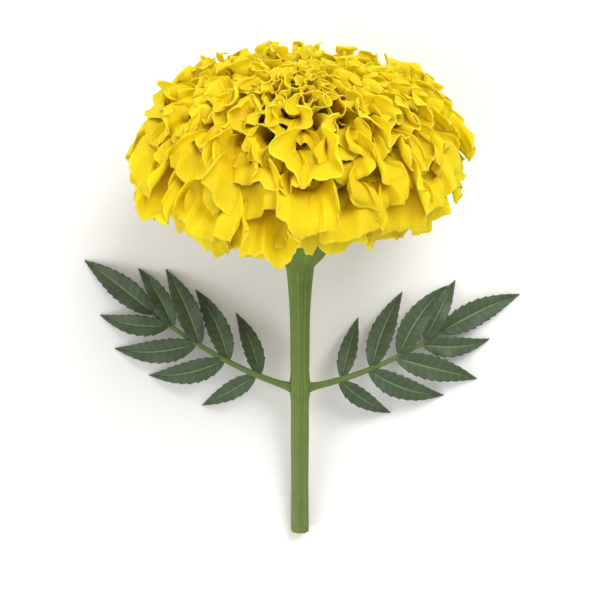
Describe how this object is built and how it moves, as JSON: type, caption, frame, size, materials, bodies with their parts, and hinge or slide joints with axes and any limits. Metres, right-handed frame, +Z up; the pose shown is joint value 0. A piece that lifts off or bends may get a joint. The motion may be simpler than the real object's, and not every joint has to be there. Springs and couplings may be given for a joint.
{
  "type": "marigold flower",
  "caption": "A cut double marigold lying on its side: a cushion-shaped head of overlapping ruffled yellow petals in a ribbed green cup, with a short curved stem and two feathery leaves.",
  "frame": {"origin": "on the surface that the flower lies on, under the centre of its bounding box", "axes": "+Y runs along the surface from the face of the flower to the cut end of the stem, +X lies across it and +Z is up"},
  "size_m": [0.1127, 0.1178, 0.0705],
  "materials": {
    "petal": "matte",
    "cup_green": "satin",
    "stem_green": "satin",
    "leaf_green": "satin",
    "receptacle_pale": "matte"
  },
  "bodies": {
    "root": {"ray_floret_r01_01": "petal", "ray_floret_r01_02": "petal", "ray_floret_r01_03": "petal", "ray_floret_r01_04": "petal", "ray_floret_r01_05": "petal", "ray_floret_r01_06": "petal", "ray_floret_r01_07": "petal", "ray_floret_r01_08": "petal", "ray_floret_r01_09": "petal", "ray_floret_r01_10": "petal", "ray_floret_r01_11": "petal", "ray_floret_r01_12": "petal", "ray_floret_r01_13": "petal", "ray_floret_r01_14": "petal", "ray_floret_r02_01": "petal", "ray_floret_r02_02": "petal", "ray_floret_r02_03": "petal", "ray_floret_r02_04": "petal", "ray_floret_r02_05": "petal", "ray_floret_r02_06": "petal", "ray_floret_r02_07": "petal", "ray_floret_r02_08": "petal", "ray_floret_r02_09": "petal", "ray_floret_r02_10": "petal", "ray_floret_r02_11": "petal", "ray_floret_r02_12": "petal", "ray_floret_r02_13": "petal", "ray_floret_r02_14": "petal", "ray_floret_r02_15": "petal", "ray_floret_r02_16": "petal", "ray_floret_r03_01": "petal", "ray_floret_r03_02": "petal", "ray_floret_r03_03": "petal", "ray_floret_r03_04": "petal", "ray_floret_r03_05": "petal", "ray_floret_r03_06": "petal", "ray_floret_r03_07": "petal", "ray_floret_r03_08": "petal", "ray_floret_r03_09": "petal", "ray_floret_r03_10": "petal", "ray_floret_r03_11": "petal", "ray_floret_r03_12": "petal", "ray_floret_r03_13": "petal", "ray_floret_r03_14": "petal", "ray_floret_r03_15": "petal", "ray_floret_r03_16": "petal", "ray_florets_row_04": "petal", "ray_florets_row_05": "petal", "ray_florets_row_06": "petal", "ray_florets_row_07": "petal", "ray_florets_row_08": "petal", "ray_florets_row_09": "petal", "ray_florets_row_10": "petal", "central_florets": "petal", "involucre": "cup_green", "receptacle": "receptacle_pale", "peduncle": "stem_green", "leaf_left": "leaf_green", "leaf_right": "leaf_green"}
  },
  "joints": []
}
